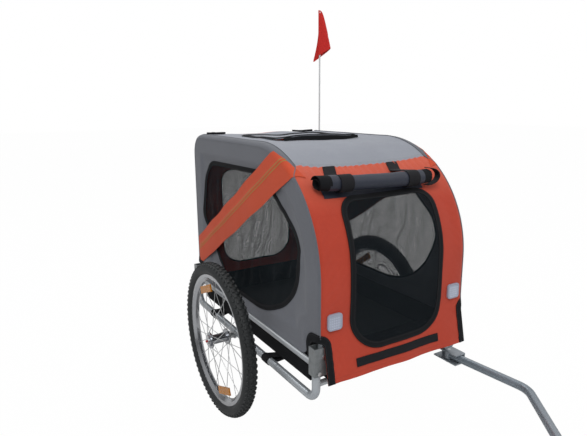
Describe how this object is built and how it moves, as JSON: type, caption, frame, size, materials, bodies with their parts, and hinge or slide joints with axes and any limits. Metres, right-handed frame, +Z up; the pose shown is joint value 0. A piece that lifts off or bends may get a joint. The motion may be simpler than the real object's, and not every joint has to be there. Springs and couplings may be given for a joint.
{
  "type": "dog bike trailer",
  "caption": "Two-wheeled fabric pet trailer on a folding tube frame, with mesh doors and windows, bent tow arm with swivel coupler and a whip flag.",
  "frame": {"origin": "on the ground, at the middle of the outer box in plan", "axes": "forward (towards the bicycle) is -Y, the trailer's left is +X, up is +Z"},
  "size_m": [0.7386, 1.3276, 1.336],
  "materials": {
    "frame_steel": "semi-gloss silver-grey paint",
    "plated_steel": "zinc plated",
    "alloy": "polished",
    "tyre_rubber": "moulded tread",
    "amber_lens": "moulded lens",
    "clear_lens": "moulded lens",
    "red_button": "moulded",
    "grey_cloth": "coated woven",
    "orange_cloth": "coated woven",
    "roof_cloth": "coated woven",
    "black_mesh": "open mesh",
    "black_cloth": "woven webbing and cloth",
    "board": "dark laminated board",
    "tow_paint": "semi-gloss paint",
    "flex_rubber": "moulded",
    "pole_plastic": "glass-fibre rod",
    "black_plastic": "moulded",
    "red_cloth": "thin flag cloth"
  },
  "bodies": {
    "frame": {"right_lower_rail": "frame_steel", "left_lower_rail": "frame_steel", "right_floor_rail": "frame_steel", "left_floor_rail": "frame_steel", "cross_tubes": "frame_steel", "front_right_bracket": "frame_steel", "front_left_bracket": "frame_steel", "rear_right_bracket": "frame_steel", "rear_left_bracket": "frame_steel", "bracket_bolts": "plated_steel", "right_axle_sleeve": "frame_steel", "left_axle_sleeve": "frame_steel", "tow_bracket": "tow_paint", "tow_pivot_bolt": "plated_steel", "floor_tub": "black_cloth", "floor_board": "board", "tub_straps": "black_cloth", "flag_socket": "black_plastic"},
    "right_hoop": {"right_hoop": "frame_steel"},
    "left_hoop": {"left_hoop": "frame_steel"},
    "cover": {"right_side_panel": "grey_cloth", "left_side_panel": "grey_cloth", "right_window_mesh": "black_mesh", "left_window_mesh": "black_mesh", "right_band": "orange_cloth", "left_band": "orange_cloth", "roof_panel": "roof_cloth", "front_panel": "orange_cloth", "rear_panel": "orange_cloth", "rolled_cover": "black_cloth", "roll_ties": "black_cloth", "front_reflectors": "clear_lens"},
    "front_door": {"front_door_mesh": "black_mesh", "front_door_binding": "black_cloth"},
    "rear_door": {"rear_door_mesh": "black_mesh", "rear_door_binding": "black_cloth"},
    "skylight_flap": {"roof_flap": "roof_cloth"},
    "right_axle": {"right_axle": "plated_steel"},
    "left_axle": {"left_axle": "plated_steel"},
    "right_wheel": {"right_tyre": "tyre_rubber", "right_rim": "alloy", "right_spokes": "plated_steel", "right_hub": "alloy", "right_bearings": "plated_steel", "right_spoke_reflectors": "amber_lens"},
    "left_wheel": {"left_tyre": "tyre_rubber", "left_rim": "alloy", "left_spokes": "plated_steel", "left_hub": "alloy", "left_bearings": "plated_steel", "left_spoke_reflectors": "amber_lens"},
    "right_button": {"right_release_button": "red_button"},
    "left_button": {"left_release_button": "red_button"},
    "tow_arm": {"tow_arm": "tow_paint", "hitch_flex": "flex_rubber"},
    "coupler": {"hitch_coupler": "alloy"},
    "hitch_pin": {"hitch_pin": "plated_steel"},
    "flag": {"flag_pole": "pole_plastic", "flag": "red_cloth"}
  },
  "joints": [
    {"name": "frame_fold", "type": "hinge", "parent": "frame", "child": "right_hoop", "pos_m": [-0.242, 0.28948, 0.372], "axis": [0, 1, 0], "range_deg": [0, 84], "deforming": ["right_side_panel", "left_side_panel", "right_window_mesh", "left_window_mesh", "right_band", "left_band", "roof_panel", "front_panel", "rear_panel", "rolled_cover", "roll_ties", "front_reflectors", "front_door_mesh", "front_door_binding", "rear_door_mesh", "rear_door_binding", "roof_flap"]},
    {"name": "left_fold", "type": "hinge", "parent": "frame", "child": "left_hoop", "pos_m": [0.242, 0.28948, 0.352], "axis": [0, 1, 0], "range_deg": [-84, 0]},
    {"name": "cover_drop", "type": "slide", "parent": "frame", "child": "cover", "axis": [0, 0, -1], "range_m": [0, 0.381]},
    {"name": "front_door_hinge", "type": "hinge", "parent": "cover", "child": "front_door", "pos_m": [0, -0.11372, 0.76], "axis": [-1, 0, 0], "range_deg": [0, 60]},
    {"name": "rear_door_hinge", "type": "hinge", "parent": "cover", "child": "rear_door", "pos_m": [0, 0.63888, 0.76], "axis": [1, 0, 0], "range_deg": [0, 80]},
    {"name": "skylight_hinge", "type": "hinge", "parent": "cover", "child": "skylight_flap", "pos_m": [0, 0.47848, 0.8853], "axis": [-1, 0, 0], "range_deg": [0, 120]},
    {"name": "tow_swing", "type": "hinge", "parent": "frame", "child": "tow_arm", "pos_m": [0.266, -0.13852, 0.2225], "axis": [0, 0, -1], "range_deg": [0, 150]},
    {"name": "coupler_swivel", "type": "hinge", "parent": "tow_arm", "child": "coupler", "pos_m": [0.11924, -0.61794, 0.2225], "axis": [-0.6151, -0.7884, 0], "range_deg": [-90, 90]},
    {"name": "hitch_pin_pull", "type": "slide", "parent": "coupler", "child": "hitch_pin", "axis": [0.7884, -0.6151, 0], "range_m": [0, 0.02]},
    {"name": "flag_lift", "type": "slide", "parent": "frame", "child": "flag", "axis": [0, 0, 1], "range_m": [0, 0.08]},
    {"name": "right_wheel_pull", "type": "slide", "parent": "frame", "child": "right_axle", "axis": [-1, 0, 0], "range_m": [0, 0.11]},
    {"name": "right_wheel_spin", "type": "hinge", "parent": "right_axle", "child": "right_wheel", "pos_m": [-0.326, 0.28948, 0.25], "axis": [1, 0, 0], "continuous": true},
    {"name": "right_button_press", "type": "slide", "parent": "right_axle", "child": "right_button", "axis": [1, 0, 0], "range_m": [0, 0.003], "stiffness_N_per_m": 30},
    {"name": "left_wheel_pull", "type": "slide", "parent": "frame", "child": "left_axle", "axis": [1, 0, 0], "range_m": [0, 0.11]},
    {"name": "left_wheel_spin", "type": "hinge", "parent": "left_axle", "child": "left_wheel", "pos_m": [0.326, 0.28948, 0.25], "axis": [1, 0, 0], "continuous": true},
    {"name": "left_button_press", "type": "slide", "parent": "left_axle", "child": "left_button", "axis": [-1, 0, 0], "range_m": [0, 0.003], "stiffness_N_per_m": 30}
  ],
  "couplings": [
    {"joint": "left_fold", "follows": "frame_fold", "ratio": -1},
    {"joint": "cover_drop", "follows": "frame_fold", "m_per_rad": 0.2592}
  ]
}
